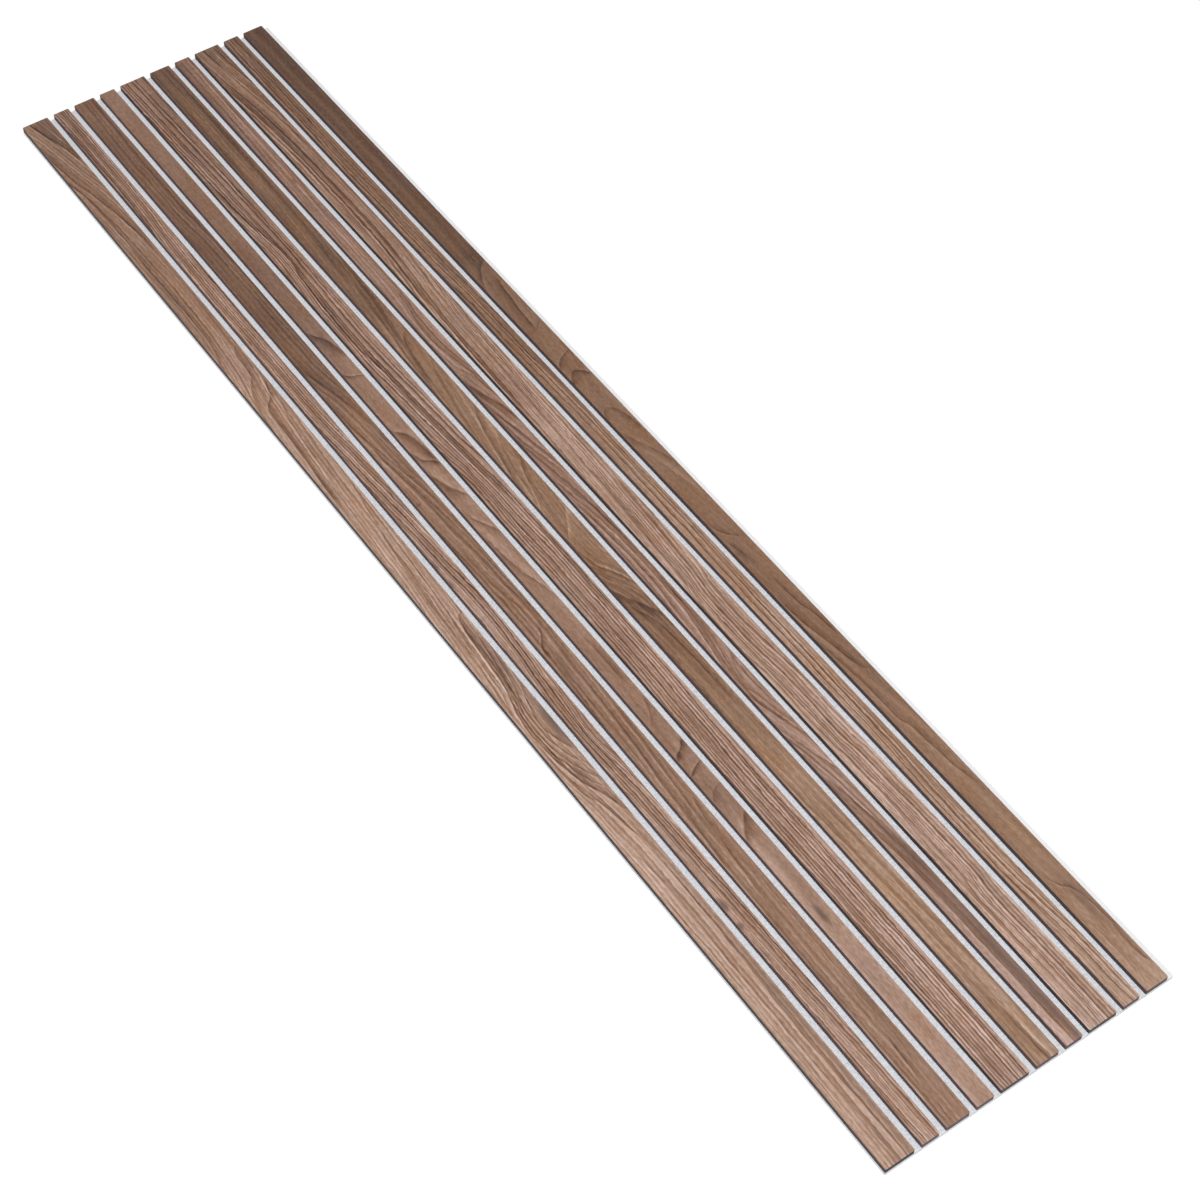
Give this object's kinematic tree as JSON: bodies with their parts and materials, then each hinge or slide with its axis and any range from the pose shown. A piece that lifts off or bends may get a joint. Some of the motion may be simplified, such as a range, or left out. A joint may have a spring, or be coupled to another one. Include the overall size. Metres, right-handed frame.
{
  "type": "acoustic slat wall panel",
  "caption": "Long acoustic wall panel: walnut-veneered slats in three mixed widths, side by side with open gaps, stapled to a pressed felt board.",
  "frame": {"origin": "middle of the felt's back face, which goes against the wall", "axes": "+Y along the slats, +X across them from the side where slat and felt end flush to the side where the felt stands out by one gap, +Z out of the wall through the slats"},
  "size_m": [0.618, 3, 0.021],
  "materials": {
    "felt": "light grey needle-pressed polyester felt",
    "black_core": "black through-dyed fibreboard, sawn edges",
    "walnut": "walnut veneer, matt oiled",
    "staple_wire": "bright galvanised flat wire"
  },
  "bodies": {
    "root": {"felt_backing": "felt", "slat_01_core": "black_core", "slat_02_core": "black_core", "slat_03_core": "black_core", "slat_04_core": "black_core", "slat_05_core": "black_core", "slat_06_core": "black_core", "slat_07_core": "black_core", "slat_08_core": "black_core", "slat_09_core": "black_core", "slat_10_core": "black_core", "slat_01_veneer": "walnut", "slat_02_veneer": "walnut", "slat_03_veneer": "walnut", "slat_04_veneer": "walnut", "slat_05_veneer": "walnut", "slat_06_veneer": "walnut", "slat_07_veneer": "walnut", "slat_08_veneer": "walnut", "slat_09_veneer": "walnut", "slat_10_veneer": "walnut", "slat_01_staples": "staple_wire", "slat_02_staples": "staple_wire", "slat_03_staples": "staple_wire", "slat_04_staples": "staple_wire", "slat_05_staples": "staple_wire", "slat_06_staples": "staple_wire", "slat_07_staples": "staple_wire", "slat_08_staples": "staple_wire", "slat_09_staples": "staple_wire", "slat_10_staples": "staple_wire"}
  },
  "joints": []
}
